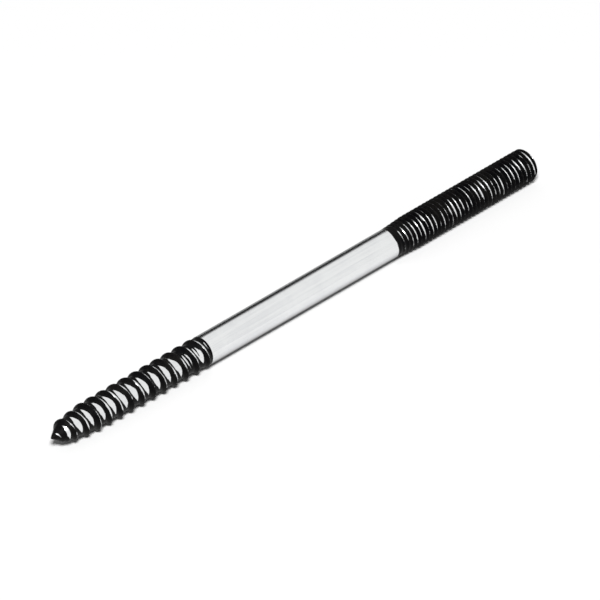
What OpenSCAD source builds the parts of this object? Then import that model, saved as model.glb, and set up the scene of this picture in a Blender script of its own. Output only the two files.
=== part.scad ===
// Threaded rod of the hanger-bolt kind: a headless steel rod with a machine thread
// at one end, a plain shank, and a tapered wood-screw thread with a point at the
// other end. It lies along X with the flat end at +X and the point at -X, and it
// touches the ground plane, Z = 0, with the crests of its machine thread.

/* [Rod] */
// Overall length, from the flat end to the point
rod_length = 150; // [120:1:170]
// Diameter of the plain shank, the blank that both threads are rolled on
shank_diameter = 7.1; // [6.8:0.05:7.3]

/* [Machine thread] */
// Diameter over the crests
machine_diameter = 8; // [7.6:0.1:8.6]
// Distance from one turn to the next
machine_pitch = 1.25; // [1.1:0.05:1.5]
// Length from the shank to the flat end, with the run-out
machine_length = 44; // [30:1:48]
// Length over which the thread rises out of the shank
machine_runout = 6.5; // [3:0.5:9]
// Width of the broken edge round the flat end
end_chamfer = 0.4; // [0.2:0.05:0.6]

/* [Wood thread] */
// Diameter over the crests
wood_diameter = 7.5; // [7.2:0.1:8]
// Diameter of the core between the turns
wood_core_diameter = 6.2; // [5.6:0.1:6.6]
// Distance from one turn to the next
wood_pitch = 3.4; // [3:0.1:4]
// Width of the ridge at its foot
ridge_foot = 1.7; // [1.3:0.05:2.1]
// Width of the flat on the ridge's crest
ridge_crest = 0.35; // [0.2:0.05:0.6]
// Length from the shank to the tip
wood_length = 47; // [36:0.5:54]
// Length over which the grooves grow shallow towards the shank
wood_runout = 4; // [2.5:0.5:8]

/* [Point] */
// Length of the tapered end, with the cone
taper_length = 11; // [8:0.5:14]
// Length of the cone
cone_length = 3.4; // [2.5:0.1:4.5]
// Diameter of the core where the cone begins
cone_diameter = 4.9; // [4.4:0.1:5.4]
// Height of the ridge where the cone begins
cone_ridge = 0.35; // [0.1:0.05:0.6]
// Diameter of the blunt tip
tip_diameter = 0.3; // [0.2:0.05:0.6]

/* [Hidden] */

// Number of flats that stand for one turn of a thread, and for the plain shank
turn_sides = 24;
shank_sides = 96;
// A corner of a thread nearer to a square cut than this is put on the cut
snap = 0.02;
// Each thread's core stands this far inside the edge of the shank's end face, and
// passes through that face by this much on either side
edge_step = 0.05;

// Where the parts of the rod begin and end along its axis
flat_end = rod_length / 2;
machine_start = flat_end - machine_length;
tip = -rod_length / 2;
wood_end = tip + wood_length;
seat_radius = shank_diameter / 2 - edge_step;

// Metric thread form: 60 degree flanks, a crest flat of an eighth of the pitch, and
// a groove 0.6134 pitches deep. Each corner is [share of a pitch, height], where the
// height is 0 in the groove and 1 on the crest.
groove_depth = 0.6134;
crest_share = 1 / 8;
flank_share = groove_depth * tan(30);
groove_share = 1 - crest_share - 2 * flank_share;
machine_form = [
    [0, 0],
    [groove_share, 0],
    [groove_share + flank_share, 1],
    [1 - flank_share, 1]
];
machine_crest = machine_diameter / 2;
machine_root = machine_crest - groove_depth * machine_pitch;

// Wood-screw form: a wide plain land, then a narrow ridge with a fillet at each
// foot, whose height is a share of the ridge's and whose reach is a share of the
// foot's width
fillet_height = 0.12;
fillet_reach = 0.3;
fillet_share = fillet_reach * ridge_foot / wood_pitch;
land_share = 1 - ridge_foot / wood_pitch;
flank_run = (ridge_foot - ridge_crest) / 2 / wood_pitch;
wood_form = [
    [0, fillet_height],
    [fillet_share, 0],
    [land_share - fillet_share, 0],
    [land_share, fillet_height],
    [land_share + flank_run, 1],
    [1 - flank_run, 1]
];

// Radius over the crests and in the grooves of the wood thread, by the distance
// from the tip. The crests come down to the shank in the last part of the run-out.
crest_drop = wood_runout / 4;
wood_crests = [
    [0, tip_diameter / 2],
    [cone_length, cone_diameter / 2 + cone_ridge],
    [taper_length, wood_diameter / 2],
    [wood_length - crest_drop, wood_diameter / 2],
    [wood_length - edge_step, seat_radius]
];
wood_grooves = [
    [0, tip_diameter / 2],
    [cone_length, cone_diameter / 2],
    [taper_length, wood_core_diameter / 2],
    [wood_length - wood_runout, wood_core_diameter / 2],
    [wood_length - edge_step, seat_radius]
];

function mix(low, high, share) = low + (high - low) * share;
function clamp(value, low, high) = min(max(value, low), high);

// Radius at a place on the axis, for a height of the thread form
function machine_radius(place, height) =
    let (risen = clamp((place - machine_start - edge_step) / machine_runout, 0, 1))
    let (threaded = mix(machine_root, machine_crest, height))
    min(mix(seat_radius, threaded, risen), machine_crest - end_chamfer + flat_end - place);

function wood_radius(place, height) =
    mix(lookup(place - tip, wood_grooves), lookup(place - tip, wood_crests), height);

// A round body with a right-hand thread, along +Z. The thread's form is swept round
// the axis between two square cuts, `from` and `to`, and plain rings at the places
// in `before` and `after` carry the section on past the cuts. A vertex lies at each
// corner of the form, so the rows of vertices follow the helix: one side further
// round the axis, each row lies one side's lead further along it.
module threaded_body(pitch, form, from, to, before, after, radius_at) {
    corners = len(form);
    closed_form = concat(form, [[1, form[0][1]]]);
    rows = corners * (ceil((to - from) / pitch) + 2);
    sides = [0:turn_sides - 1];

    function lead(side) = pitch * side / turn_sides;
    function row_place(row, side) =
        from + pitch * (floor(row / corners) - 1 + form[row % corners][0]) + lead(side);
    function form_height(place, side) =
        let (turns = (place - from - lead(side)) / pitch)
        lookup(turns - floor(turns), closed_form);
    function vertex(place, side) =
        let (angle = 360 * side / turn_sides)
        let (radius = radius_at(place, form_height(place, side)))
        [radius * cos(angle), radius * sin(angle), place];

    // The rows that fall on the two cuts, for each side
    first = [for (s = sides) max([for (r = [0:rows - 1]) if (row_place(r, s) <= from + snap) r])];
    last = [for (s = sides) min([for (r = [0:rows - 1]) if (row_place(r, s) >= to - snap) r])];

    // Vertex numbers: the thread's rows side by side, then the rings, then the centres
    // of the two end faces. Past the last side, a row goes on as the row one pitch up.
    function in_thread(row, side) =
        side == turn_sides ? in_thread(row + corners, 0)
        : side * rows + clamp(row, first[side], last[side]);
    function in_ring(ring) = [for (s = sides) (rows + ring) * turn_sides + s];

    ring_places = concat(before, after);
    thread_points = [
        for (s = sides, r = [0:rows - 1])
            vertex(r <= first[s] ? from : r >= last[s] ? to : row_place(r, s), s)
    ];
    ring_points = [for (place = ring_places, s = sides) vertex(place, s)];
    lower_rings = [for (i = [0:1:len(before) - 1]) in_ring(i)];
    upper_rings = [for (i = [len(before):1:len(ring_places) - 1]) in_ring(i)];
    lower_loops = concat(lower_rings, [[for (s = sides) in_thread(first[s], s)]]);
    upper_loops = concat([[for (s = sides) in_thread(last[s], s)]], upper_rings);
    centres = len(thread_points) + len(ring_points);
    lower_end = len(before) > 0 ? before[0] : from;
    upper_end = len(after) > 0 ? after[len(after) - 1] : to;

    function quad(a, b, c, d) = [
        for (triangle = [[a, d, c], [a, c, b]])
            if (triangle[0] != triangle[1] && triangle[1] != triangle[2] && triangle[2] != triangle[0])
                triangle
    ];
    function band(low, high) = [
        for (s = sides)
            let (next = (s + 1) % turn_sides)
            each quad(low[s], low[next], high[next], high[s])
    ];
    function fan(centre, loop) = [
        for (s = sides) [centre, loop[s], loop[(s + 1) % turn_sides]]
    ];
    function reversed(list) = [for (i = [len(list) - 1:-1:0]) list[i]];

    polyhedron(
        points = concat(thread_points, ring_points, [[0, 0, lower_end], [0, 0, upper_end]]),
        faces = [
            for (s = sides, r = [0:rows - 2])
                each quad(
                    in_thread(r, s), in_thread(r, s + 1),
                    in_thread(r + 1, s + 1), in_thread(r + 1, s)
                ),
            for (i = [0:1:len(lower_loops) - 2]) each band(lower_loops[i], lower_loops[i + 1]),
            for (i = [0:1:len(upper_loops) - 2]) each band(upper_loops[i], upper_loops[i + 1]),
            each fan(centres, lower_loops[0]),
            each fan(centres + 1, reversed(upper_loops[len(upper_loops) - 1]))
        ]
    );
}

// The machine thread, from its seat in the shank to the flat end
module machine_thread()
    threaded_body(
        machine_pitch, machine_form,
        from = machine_start + edge_step, to = flat_end - end_chamfer,
        before = [machine_start - edge_step],
        after = [flat_end - end_chamfer / 2, flat_end],
        radius_at = function(place, height) machine_radius(place, height)
    );

// The wood thread, from the tip to its seat in the shank
module wood_thread()
    threaded_body(
        wood_pitch, wood_form,
        from = tip, to = wood_end - edge_step,
        before = [],
        after = [wood_end + edge_step],
        radius_at = function(place, height) wood_radius(place, height)
    );

module plain_shank()
    translate([0, 0, wood_end])
        cylinder(d = shank_diameter, h = machine_start - wood_end, $fn = shank_sides);

module threaded_rod()
    color("silver")
        translate([0, 0, machine_diameter / 2])
            rotate([0, 90, 0])
                union() {
                    machine_thread();
                    plain_shank();
                    wood_thread();
                }

threaded_rod();
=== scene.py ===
from math import tau

import bpy
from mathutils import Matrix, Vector


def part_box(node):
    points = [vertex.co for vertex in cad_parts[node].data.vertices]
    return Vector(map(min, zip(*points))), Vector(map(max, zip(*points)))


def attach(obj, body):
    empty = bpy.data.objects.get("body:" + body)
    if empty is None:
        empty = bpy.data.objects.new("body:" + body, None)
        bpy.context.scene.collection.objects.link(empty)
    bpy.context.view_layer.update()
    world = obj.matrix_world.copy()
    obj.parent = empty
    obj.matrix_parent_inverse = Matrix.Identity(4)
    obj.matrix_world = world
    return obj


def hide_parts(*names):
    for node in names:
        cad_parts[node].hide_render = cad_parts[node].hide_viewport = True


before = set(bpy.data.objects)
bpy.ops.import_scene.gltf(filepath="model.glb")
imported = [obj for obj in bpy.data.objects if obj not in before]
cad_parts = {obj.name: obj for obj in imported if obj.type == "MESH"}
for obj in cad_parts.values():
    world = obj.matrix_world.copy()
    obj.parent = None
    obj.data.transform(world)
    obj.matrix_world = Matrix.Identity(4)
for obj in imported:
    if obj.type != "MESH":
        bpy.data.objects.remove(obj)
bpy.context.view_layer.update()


# The camera. It looks down on the rod from over its pointed end, at the angle of an
# isometric view, and through so long a lens that parallel edges stay nearly parallel.
mm = 0.001
low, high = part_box("threaded_rod")
view_width = 134.1 * mm
view_from = Vector((-1, -1, 1)).normalized()
view_right = Vector((1, -1, 0)).normalized()
view_shift = 2.04 * mm
view_middle = (low + high) / 2 + view_shift * view_right

camera_data = bpy.data.cameras.new("camera")
camera_data.sensor_width = 36
camera_data.lens = 1200
view_distance = view_width * camera_data.lens / camera_data.sensor_width
camera = bpy.data.objects.new("camera", camera_data)
camera.location = view_middle + view_distance * view_from
camera.rotation_mode = "QUATERNION"
camera.rotation_quaternion = (-view_from).to_track_quat("-Z", "Y")
bpy.context.scene.collection.objects.link(camera)
bpy.context.scene.camera = camera


# The rod. It is one length of steel bar with a machine thread rolled on one end and
# a tapered wood thread on the other. Rolling moves the metal and cuts none away, so
# the crests stand out past the plain shank and the grooves lie under it.
rod_sizes = {
    "Axis Height": (low.z + high.z) / 2,
    "Tip": low.x,
    "Flat End": high.x,
    "Shank Radius": 3.55 * mm,
    "Machine Length": 44 * mm,
    "Machine Pitch": 1.25 * mm,
    "Machine Crest": 4 * mm,
    "Machine Groove": 3.233 * mm,
    "Machine Run-out": 6.5 * mm,
    "End Chamfer": 0.4 * mm,
    "Wood Length": 47 * mm,
    "Wood Pitch": 3.4 * mm,
    "Wood Crest": 3.75 * mm,
    "Wood Core": 3.1 * mm,
    "Wood Run-out": 4 * mm,
    "Taper Length": 11 * mm,
    "Cone Length": 3.4 * mm,
    "Cone Core": 2.45 * mm,
    "Cone Ridge": 0.35 * mm,
    "Tip Radius": 0.15 * mm,
    # where the dark coat lies, as rolling residue and as painted shade, and where the steel is
    # left bare
    "Bare Machine Crest": 0.06 * mm,
    "Dark Start": 1.3 * mm,
    "Shank Lap": 0.3 * mm,
    "Bare Wood Crest": 0.12 * mm,
    "Land Middle": 1.65 * mm,
    "Bare Land": 0.71 * mm,
    "Dark Ring": 0.6 * mm,
}
sides = 72


class Value:
    """A number that varies over a surface, as one output of a node carries it."""

    def __init__(self, socket):
        self.socket = socket
        self.tree = socket.id_data

    def __add__(self, other):
        return maths("ADD", self, other)

    def __radd__(self, other):
        return maths("ADD", other, self)

    def __sub__(self, other):
        return maths("SUBTRACT", self, other)

    def __rsub__(self, other):
        return maths("SUBTRACT", other, self)

    def __mul__(self, other):
        return maths("MULTIPLY", self, other)

    def __rmul__(self, other):
        return maths("MULTIPLY", other, self)

    def __truediv__(self, other):
        return maths("DIVIDE", self, other)


def add(tree, kind, inputs=None, output=0, **settings):
    """Adds a node, sets or links its inputs, and gives one of its outputs."""
    node = tree.nodes.new(kind)
    for name, setting in settings.items():
        setattr(node, name, setting)
    for name, value in (inputs or {}).items():
        if isinstance(value, Value):
            tree.links.new(value.socket, node.inputs[name])
        else:
            node.inputs[name].default_value = value
    return Value(node.outputs[output])


def maths(operation, *values):
    """One sum, in the tree of the first of the values that varies."""
    tree = next(value.tree for value in values if isinstance(value, Value))
    return add(tree, "ShaderNodeMath", dict(enumerate(values)), operation=operation)


def ramp(value, start, end, low, high, **settings):
    """Goes from low to high as the value goes from start to end."""
    inputs = {"Value": value, "From Min": start, "From Max": end, "To Min": low, "To Max": high}
    return add(value.tree, "ShaderNodeMapRange", inputs, **settings)


rod_tree = bpy.data.node_groups.new("rolled rod", "GeometryNodeTree")
rod_tree.interface.new_socket(name="Rod", in_out="OUTPUT", socket_type="NodeSocketGeometry")
rod_tree.interface.new_socket(name="Steel", in_out="INPUT", socket_type="NodeSocketMaterial")
for name in rod_sizes:
    rod_tree.interface.new_socket(name=name, in_out="INPUT", socket_type="NodeSocketFloat")
group_input = rod_tree.nodes.new("NodeGroupInput")
size = {name: Value(group_input.outputs[name]) for name in rod_sizes}

# Each skin is a grid of vertices. Its rows follow the rod, and its sides go once round it,
# from underneath. The lead is how much of a turn a side has gone.
vertex = add(rod_tree, "GeometryNodeInputIndex")
side = maths("MODULO", vertex, sides + 1)
row = (vertex - side) / (sides + 1)
lead = side / sides
angle = lead * tau


def held(value, domain="POINT"):
    """A value as the vertices or the faces have it, to be read at the faces' corners."""
    return add(rod_tree, "GeometryNodeFieldOnDomain", {"Value": value}, domain=domain)


def wrap(rows, place, radius, residue_and_shade, past_end=0):
    """A skin of that many rows round the axis. Its corners note how deep they lie in the dark coat
    of rolling residue and painted shade, which is less than nothing where the steel is bare, and
    where they lie on a map of the skin, unrolled and cut into strips."""
    grid = add(rod_tree, "GeometryNodeMeshGrid", {"Vertices X": rows + 1, "Vertices Y": sides + 1})
    across = radius * maths("SINE", angle)
    height = size["Axis Height"] - radius * maths("COSINE", angle)
    spot = add(rod_tree, "ShaderNodeCombineXYZ", {"X": place, "Y": across, "Z": height})
    noted = add(rod_tree, "GeometryNodeStoreNamedAttribute",
                {"Geometry": grid, "Name": "residue_and_shade", "Value": held(residue_and_shade)}, domain="CORNER")
    strips, margin, spare = 3, 0.03, 0.01
    length = (size["Flat End"] - size["Tip"] + size["Machine Crest"]) / (strips - spare)
    unrolled = held((place - size["Tip"] + past_end) / length)
    strip = maths("FLOOR", held(unrolled, "FACE"))
    u = margin + (unrolled - strip) * (1 - 2 * margin)
    v = (strip + margin + held(lead) * (1 - 2 * margin)) / strips
    spread = add(rod_tree, "ShaderNodeCombineXYZ", {"X": u, "Y": v})
    mapped = add(rod_tree, "GeometryNodeStoreNamedAttribute",
                 {"Geometry": noted, "Name": "OFBake", "Value": spread},
                 domain="CORNER", data_type="FLOAT2")
    return add(rod_tree, "GeometryNodeSetPosition", {"Geometry": mapped, "Position": spot})


def helix(start, end, pitch, rows_per_turn, crest_phase):
    """The rows of a right-hand thread between two square cuts, and their places. A row that
    would lie past a cut is held at it."""
    turns_before = 2
    turns = maths("CEIL", (end - start) / pitch) + (turns_before + 1)
    turn = row / rows_per_turn + lead + (crest_phase - turns_before)
    place = maths("MINIMUM", maths("MAXIMUM", start + pitch * turn, start), end)
    return turns * rows_per_turn, place


def from_turn(place, start, pitch, phase):
    """The distance along the axis from the nearest turn of a helix, in pitches."""
    turn = (place - start) / pitch - lead - phase
    return maths("ABSOLUTE", maths("FRACT", turn + 0.5) - 0.5)


def thread_height(from_crest, crest_half, flank_run, crest_round, foot_round):
    """The height of a thread's form, from 0 in the groove to 1 on the crest."""
    flank = (crest_half + flank_run - from_crest) / flank_run
    crested = maths("SMOOTH_MIN", flank, 1, crest_round)
    return maths("SMOOTH_MAX", crested, 0, foot_round)


def between(share, first, second):
    """Goes from the first value to the second as the share goes from 0 to 1."""
    return first + (second - first) * share


# The dark coat is left off two opposite bands round the rod, high on the near side and low on
# the far side. On the near side the bare crests and lands stand as a painted highlight, and away
# from the bands the coat spreads as painted shade towards the rod's edges. The far band reaches
# further round.
far_bare_band_side = tau / 8


def off_bare_band(middle, near_reach, far_reach):
    """How far round from a bare band a place lies, squared: 0 is its middle, 1 the reach. The
    painted shade grows with it.
    """
    seam = maths("SINE", angle - far_bare_band_side)
    well_far = 0.6
    on_far_side = ramp(maths("COSINE", angle - far_bare_band_side), 0, well_far, 0, 1)
    reach = between(on_far_side, near_reach, far_reach)
    return maths("POWER", (seam - middle) / reach, 2)


# The machine thread has the metric form: 60 degree flanks and a crest flat of an
# eighth of the pitch. It rises out of the shank and ends in a broken edge.
machine_crest_half = 1 / 16
machine_flank = 0.354
machine_crest_round, machine_foot_round = 0.3, 0.35
machine_edge_round = 0.1 * mm
machine_rows_per_turn = 16
machine_phase = 1 - machine_crest_half - machine_flank
machine_start = size["Flat End"] - size["Machine Length"]


def machine_radius(place):
    """The machine thread's radius, from where it rises out of the shank to the broken edge."""
    from_crest = from_turn(place, machine_start, size["Machine Pitch"], machine_phase)
    form = thread_height(from_crest, machine_crest_half, machine_flank,
                         machine_crest_round, machine_foot_round)
    threaded = between(form, size["Machine Groove"], size["Machine Crest"])
    risen = ramp(place, machine_start, machine_start + size["Machine Run-out"], 0, 1)
    whole = between(risen, size["Shank Radius"], threaded)
    broken_edge = size["Machine Crest"] - size["End Chamfer"] + size["Flat End"] - place
    return maths("SMOOTH_MIN", whole, broken_edge, machine_edge_round)


machine_bare_bands = {"middle": -0.04, "near_reach": 0.6, "far_reach": 1.6}
machine_bare_band_edge = 1.5
deepest_machine_shade = 4


def machine_residue_and_shade(place):
    """The thread is dark, as rolling residue and as painted shade in its grooves and towards the
    rod's edges, but for its crests, where a thin bare line is left, widest in the bare bands as a
    painted highlight.
    """
    from_crest = from_turn(place, machine_start, size["Machine Pitch"], machine_phase)
    shade_share = maths("POWER", off_bare_band(**machine_bare_bands), machine_bare_band_edge)
    bare = size["Bare Machine Crest"] * maths("MAXIMUM", 1 - shade_share, -deepest_machine_shade)
    groove = from_crest * size["Machine Pitch"] - bare
    return maths("MAXIMUM", groove, machine_start + size["Dark Start"] - place)


machine_rows, machine_place = helix(
    machine_start, size["Flat End"], size["Machine Pitch"], machine_rows_per_turn, machine_phase)
machine_skin = wrap(
    machine_rows, machine_place, machine_radius(machine_place), machine_residue_and_shade(machine_place))

all_bare, all_dark = -1 * mm, 1 * mm
end_rows = 4
end_radius = machine_radius(size["Flat End"])
end_share = row / end_rows
end_face = wrap(
    end_rows, size["Flat End"], end_radius * (1 - end_share), all_bare, end_radius * end_share)

# The wood thread has wide lands and narrow ridges, which grow out of a cone point
# and end where the lands come up to the shank.
wood_crest_half = 0.0515
wood_flank = 0.1985
wood_crest_round, wood_foot_round = 0.25, 0.3
wood_bend_round = 0.15 * mm
wood_rows_per_turn = 36
wood_phase = 1 - wood_crest_half - wood_flank
wood_end = size["Tip"] + size["Wood Length"]


def lowest(*values):
    """The lowest of the values, with a rounded bend where one passes another."""
    result = values[0]
    for value in values[1:]:
        result = maths("SMOOTH_MIN", result, value, wood_bend_round)
    return result


def wood_radius(place):
    """The wood thread's radius, from the cone point through the taper to the shank."""
    from_crest = from_turn(place, size["Tip"], size["Wood Pitch"], wood_phase)
    form = thread_height(from_crest, wood_crest_half, wood_flank,
                         wood_crest_round, wood_foot_round)
    from_tip = place - size["Tip"]
    cone, taper, length = size["Cone Length"], size["Taper Length"], size["Wood Length"]
    cone_crest = size["Cone Core"] + size["Cone Ridge"]
    crest_drop = length - size["Wood Run-out"] / 4
    crest = lowest(
        ramp(from_tip, 0, cone, size["Tip Radius"], cone_crest, clamp=False),
        ramp(from_tip, cone, taper, cone_crest, size["Wood Crest"], clamp=False),
        size["Wood Crest"],
        ramp(from_tip, crest_drop, length, size["Wood Crest"], size["Shank Radius"], clamp=False),
    )
    core = lowest(
        ramp(from_tip, 0, cone, size["Tip Radius"], size["Cone Core"], clamp=False),
        ramp(from_tip, cone, taper, size["Cone Core"], size["Wood Core"], clamp=False),
        size["Wood Core"],
    )
    filled = ramp(from_tip, length - size["Wood Run-out"], length, size["Wood Core"],
                  size["Shank Radius"], clamp=False)
    land = maths("SMOOTH_MAX", core, filled, wood_bend_round)
    return between(form, land, crest)


wood_bare_bands = {"middle": -0.03, "near_reach": 0.78, "far_reach": 1.3}
deepest_crest_shade, deepest_land_shade = 2, 1.2
land_lean = 0.1
dark_cone_share = 0.9
streaked_from_shank, streaked_half = 1.6, 0.6


def wood_residue_and_shade(place):
    """The lands and a thin line on each ridge's crest are left bare, widest in the bare bands as a
    painted highlight, and the dark coat spreads over them towards the rod's edges as painted
    shade.
    The ridges' flanks and feet stay dark, as painted shade along with rolling residue, and so do
    the cone, a ring at the shank and a streak along the last land but one."""
    pitch = size["Wood Pitch"]
    shade_share = off_bare_band(**wood_bare_bands)
    crest = from_turn(place, size["Tip"], pitch, wood_phase) * pitch
    bare_crest = size["Bare Wood Crest"] * maths("MAXIMUM", 1 - shade_share, -deepest_crest_shade)
    land_shade = size["Bare Land"] * maths("MINIMUM", shade_share, deepest_land_shade)
    land_phase = wood_phase + (size["Land Middle"] + land_lean * land_shade) / pitch
    land = from_turn(place, size["Tip"], pitch, land_phase) * pitch
    on_cone = size["Tip"] + dark_cone_share * size["Cone Length"] - place
    off_land = maths("MAXIMUM", land - (size["Bare Land"] - land_shade), on_cone)
    foot = maths("MINIMUM", crest - bare_crest, off_land)
    from_shank = wood_end - place
    ring = size["Dark Ring"] - from_shank
    from_streaked = maths("ABSOLUTE", from_shank - streaked_from_shank * pitch)
    streak = maths("MINIMUM", size["Dark Ring"] / 2 - land, streaked_half * pitch - from_streaked)
    return maths("MAXIMUM", maths("MAXIMUM", foot, ring), streak)


wood_rows, wood_place = helix(
    size["Tip"], wood_end, size["Wood Pitch"], wood_rows_per_turn, wood_phase)
wood_skin = wrap(wood_rows, wood_place, wood_radius(wood_place), wood_residue_and_shade(wood_place))

tip_rows = 2
tip_share = row / tip_rows
tip_radius = wood_radius(size["Tip"])
tip_face = wrap(
    tip_rows, size["Tip"], tip_radius * tip_share, all_dark, tip_radius * (tip_share - 1))

# The plain shank joins the two threads. The machine thread's dark coat laps its end.
shank_rows = 24
shank_place = between(row / shank_rows, wood_end, machine_start)
shank_dark_lap = shank_place + size["Shank Lap"] - machine_start
shank_skin = wrap(shank_rows, shank_place, size["Shank Radius"], shank_dark_lap)

# The skins are welded into one closed bar, and its true corners are kept crisp.
weld_gap = 0.001 * mm
corner_angle = 0.6
joined = rod_tree.nodes.new("GeometryNodeJoinGeometry")
for skin in (end_face, machine_skin, shank_skin, wood_skin, tip_face):
    rod_tree.links.new(skin.socket, joined.inputs[0])
welded = add(rod_tree, "GeometryNodeMergeByDistance",
             {"Geometry": Value(joined.outputs[0]), "Distance": weld_gap})
outward = add(rod_tree, "GeometryNodeFlipFaces", {"Mesh": welded})
edge_angle = add(rod_tree, "GeometryNodeInputMeshEdgeAngle")
crisp = maths("GREATER_THAN", edge_angle, corner_angle)
shaded = add(rod_tree, "GeometryNodeSetShadeSmooth",
             {"Geometry": outward, "Selection": crisp, "Shade Smooth": False}, domain="EDGE")
solid = add(rod_tree, "GeometryNodeRealizeInstances", {"Geometry": shaded})
finished = add(rod_tree, "GeometryNodeSetMaterial",
               {"Geometry": solid, "Material": Value(group_input.outputs["Steel"])})
group_output = rod_tree.nodes.new("NodeGroupOutput")
rod_tree.links.new(finished.socket, group_output.inputs["Rod"])

# Its finish is a thin bright coat, which dims at a glancing angle, over the rolled steel.
# The shank keeps the lines of the die it was drawn through. The grooves hold a black coat,
# dry and hardly shining, which stands for the residue of rolling and paints the shade in the
# threads.
steel = bpy.data.materials.new("coated_rolled_steel")
steel.use_nodes = True
steel_tree = steel.node_tree
steel_shader = steel_tree.nodes["Principled BSDF"]
steel_shader.inputs["Specular IOR Level"].default_value = 0.1
steel_shader.inputs["Specular Tint"].default_value = (0.3, 0.3, 0.3, 1)
bright, dull = (0.80, 0.81, 0.81), (0.73, 0.74, 0.75)
# The dark colours are rolling residue and also painted shade in the threads.
residue_and_shade_dark, residue_and_shade_thin = (0.0015, 0.0015, 0.002), (0.007, 0.0065, 0.006)
cut_bright, cut_dull = (0.66, 0.66, 0.66), (0.42, 0.42, 0.43)


def noise(along, across, scale, detail):
    """Cloudy noise fixed to the rod, its grain drawn out along and across by so many times."""
    place = add(steel_tree, "ShaderNodeTexCoord", output="Object")
    grain = (1 / along, 1 / across, 1)
    mapped = add(steel_tree, "ShaderNodeMapping", {"Vector": place, "Scale": grain})
    return add(steel_tree, "ShaderNodeTexNoise",
               {"Vector": mapped, "Scale": scale, "Detail": detail, "Roughness": 0.6})


def blend(share, first, second):
    """A colour between the two, by the share."""
    node = steel_tree.nodes.new("ShaderNodeMix")
    node.data_type = "RGBA"
    steel_tree.links.new(share.socket, node.inputs[0])
    for socket, colour in ((node.inputs[6], first), (node.inputs[7], second)):
        if isinstance(colour, Value):
            steel_tree.links.new(colour.socket, socket)
        else:
            socket.default_value = (*colour, 1)
    return Value(node.outputs[2])


def smooth(value, start, end):
    """Goes gently from 0 to 1 as the value goes from start to end."""
    return ramp(value, start, end, 0, 1, interpolation_type="SMOOTHSTEP")


# The edges of the dark coat, residue and painted shade alike, are frayed unevenly.
depth = add(steel_tree, "ShaderNodeAttribute", output="Fac", attribute_name="residue_and_shade")
wear = noise(along=0.25, across=1.1, scale=240, detail=2)
grain = noise(along=1, across=1, scale=2600, detail=4)
wear_depth, grain_depth, fade = 0.85 * mm, 0.25 * mm, 0.05 * mm
frayed = depth + (wear - 0.5) * wear_depth + (grain - 0.5) * grain_depth
residue_and_shade = smooth(frayed, -fade, fade)

# The flat end was cut off square, which left lines across it.
place = add(steel_tree, "ShaderNodeTexCoord", output="Object")
along = add(steel_tree, "ShaderNodeSeparateXYZ", {"Vector": place})
cut_start, cut_full = high.x - 0.1 * mm, high.x - 0.02 * mm
cut = smooth(along, cut_start, cut_full)
cut_lines = noise(along=1, across=25, scale=3200, detail=3)

# The die drew fine lines and broader streaks along the bar, and the coat is faintly cloudy.
clouds = noise(along=1, across=1, scale=140, detail=4)
lines = noise(along=200, across=1, scale=9000, detail=2)
streaks = noise(along=60, across=1, scale=1800, detail=3)
coat = blend(smooth(clouds + (streaks - 0.5) * 1.2, 0.3, 0.8), bright, dull)
cut_steel = blend(smooth(cut_lines, 0.3, 0.7), cut_bright, cut_dull)
clean_steel = blend(cut, coat, cut_steel)
residue_and_shade_colour = blend(smooth(grain + (clouds - 0.5), 0.35, 0.75), residue_and_shade_dark, residue_and_shade_thin)
# The dark coat, partly rolling residue and partly painted shade, is laid over the clean steel.
colour = blend(residue_and_shade, clean_steel, residue_and_shade_colour)
steel_tree.links.new(colour.socket, steel_shader.inputs["Base Color"])
metal = 1 - residue_and_shade
steel_tree.links.new(metal.socket, steel_shader.inputs["Metallic"])
coat_rough = 0.12 + streaks * 0.08 + clouds * 0.06
residue_and_shade_rough = 0.1 + grain * 0.4
cut_rough = 0.15
rough = coat_rough + residue_and_shade * residue_and_shade_rough + cut * cut_rough
steel_tree.links.new(rough.socket, steel_shader.inputs["Roughness"])
drawn = lines * 0.6 + streaks * 0.4
bare_relief = between(cut, drawn, cut_lines * 3)
relief = between(residue_and_shade, bare_relief, grain * 1.5)
bump_strength, bump_height = 0.25, 0.01 * mm
bump = add(steel_tree, "ShaderNodeBump",
           {"Height": relief, "Strength": bump_strength, "Distance": bump_height})
steel_tree.links.new(bump.socket, steel_shader.inputs["Normal"])

rod = bpy.data.objects.new("rod", bpy.data.meshes.new("rod"))
bpy.context.scene.collection.objects.link(rod)
rolling = rod.modifiers.new("rolling", "NODES")
rolling.node_group = rod_tree
for item in rod_tree.interface.items_tree:
    if item.name in rod_sizes:
        rolling[item.identifier] = rod_sizes[item.name]
    if item.name == "Steel":
        rolling[item.identifier] = steel
evaluated = rod.evaluated_get(bpy.context.evaluated_depsgraph_get())
rod_mesh = bpy.data.meshes.new_from_object(evaluated)
rod_mesh.materials.pop(index=0)  # the empty slot that a grid comes with
rod.modifiers.clear()
rod.data = rod_mesh

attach(rod, "root")
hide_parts("threaded_rod")


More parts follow.
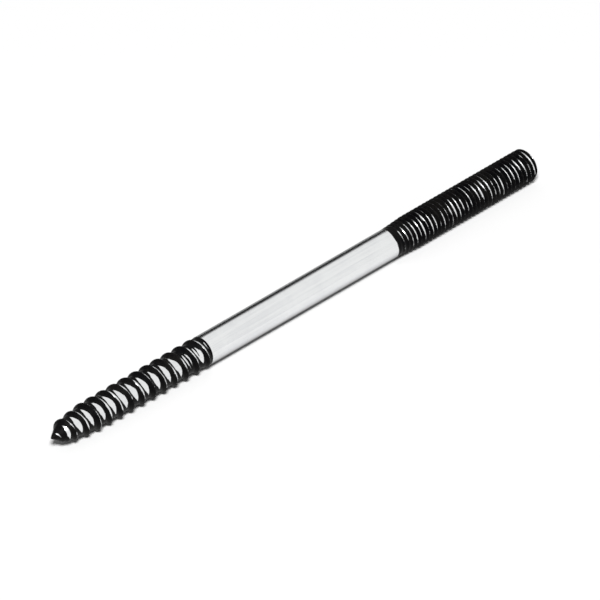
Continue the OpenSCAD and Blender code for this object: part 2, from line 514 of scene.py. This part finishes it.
# The floor, a plain sheet of white paper that the rod lies on. To light that has been
# scattered once it is dark, so little light creeps in under the rod, and the rod's own
# shadow stays clear along its near edge.
floor_half = 1.5
floor_white, floor_bounce = 0.97, 0.1
floor_mesh = bpy.data.meshes.new("floor")
corners = [(x * floor_half, y * floor_half, 0) for x, y in ((-1, -1), (1, -1), (1, 1), (-1, 1))]
floor_mesh.from_pydata(corners, [], [(0, 1, 2, 3)])
floor_paint = bpy.data.materials.new("white_paper")
floor_paint.use_nodes = True
floor_shader = floor_paint.node_tree.nodes["Principled BSDF"]
bounces = add(floor_paint.node_tree, "ShaderNodeLightPath", output="Diffuse Depth")
floor_grey = ramp(bounces, 0, 1, floor_white, floor_bounce)
floor_paint.node_tree.links.new(floor_grey.socket, floor_shader.inputs["Base Color"])
floor_shader.inputs["Roughness"].default_value = 0.9
floor_shader.inputs["Specular IOR Level"].default_value = 0
floor_mesh.materials.append(floor_paint)
floor = bpy.data.objects.new("floor", floor_mesh)
bpy.context.scene.collection.objects.link(floor)


# The light. One large soft lamp stands high on the near side, and a dim sky lights the
# rod from all round. In the metal the sky is white, but for a dark card beyond the rod,
# which draws a dark line along the far edge of the round steel.
world = bpy.data.worlds.new("studio")
world.use_nodes = True
world_tree = world.node_tree
background = world_tree.nodes["Background"]
sky_level = 0.16
card_blackness = 0.97
sky_place = add(world_tree, "ShaderNodeTexCoord", output="Generated")
sky_height = add(world_tree, "ShaderNodeSeparateXYZ", {"Vector": sky_place}, output="Z")
sky_far = add(world_tree, "ShaderNodeSeparateXYZ", {"Vector": sky_place}, output="Y")
under_top = smooth(sky_height, 0.58, 0.46)
far_enough = smooth(sky_far, 0.3, 0.6)
open_sky = 1 - under_top * far_enough * card_blackness
seen = add(world_tree, "ShaderNodeLightPath", output="Is Camera Ray")
mirrored = add(world_tree, "ShaderNodeLightPath", output="Is Glossy Ray")
sky = maths("MAXIMUM", between(mirrored, sky_level, open_sky), seen)
world_tree.links.new(sky.socket, background.inputs["Color"])
bpy.context.scene.world = world

lamp_data = bpy.data.lights.new("high_lamp", "AREA")
lamp_data.shape = "SQUARE"
lamp_data.size = 1.7
lamp_data.energy = 745
lamp = bpy.data.objects.new("high_lamp", lamp_data)
lamp.location = (-3.55, -3.6, 6.25)
lamp.rotation_mode = "QUATERNION"
lamp.rotation_quaternion = (-lamp.location).to_track_quat("-Z", "Y")
bpy.context.scene.collection.objects.link(lamp)

bpy.context.scene.view_settings.view_transform = "Standard"
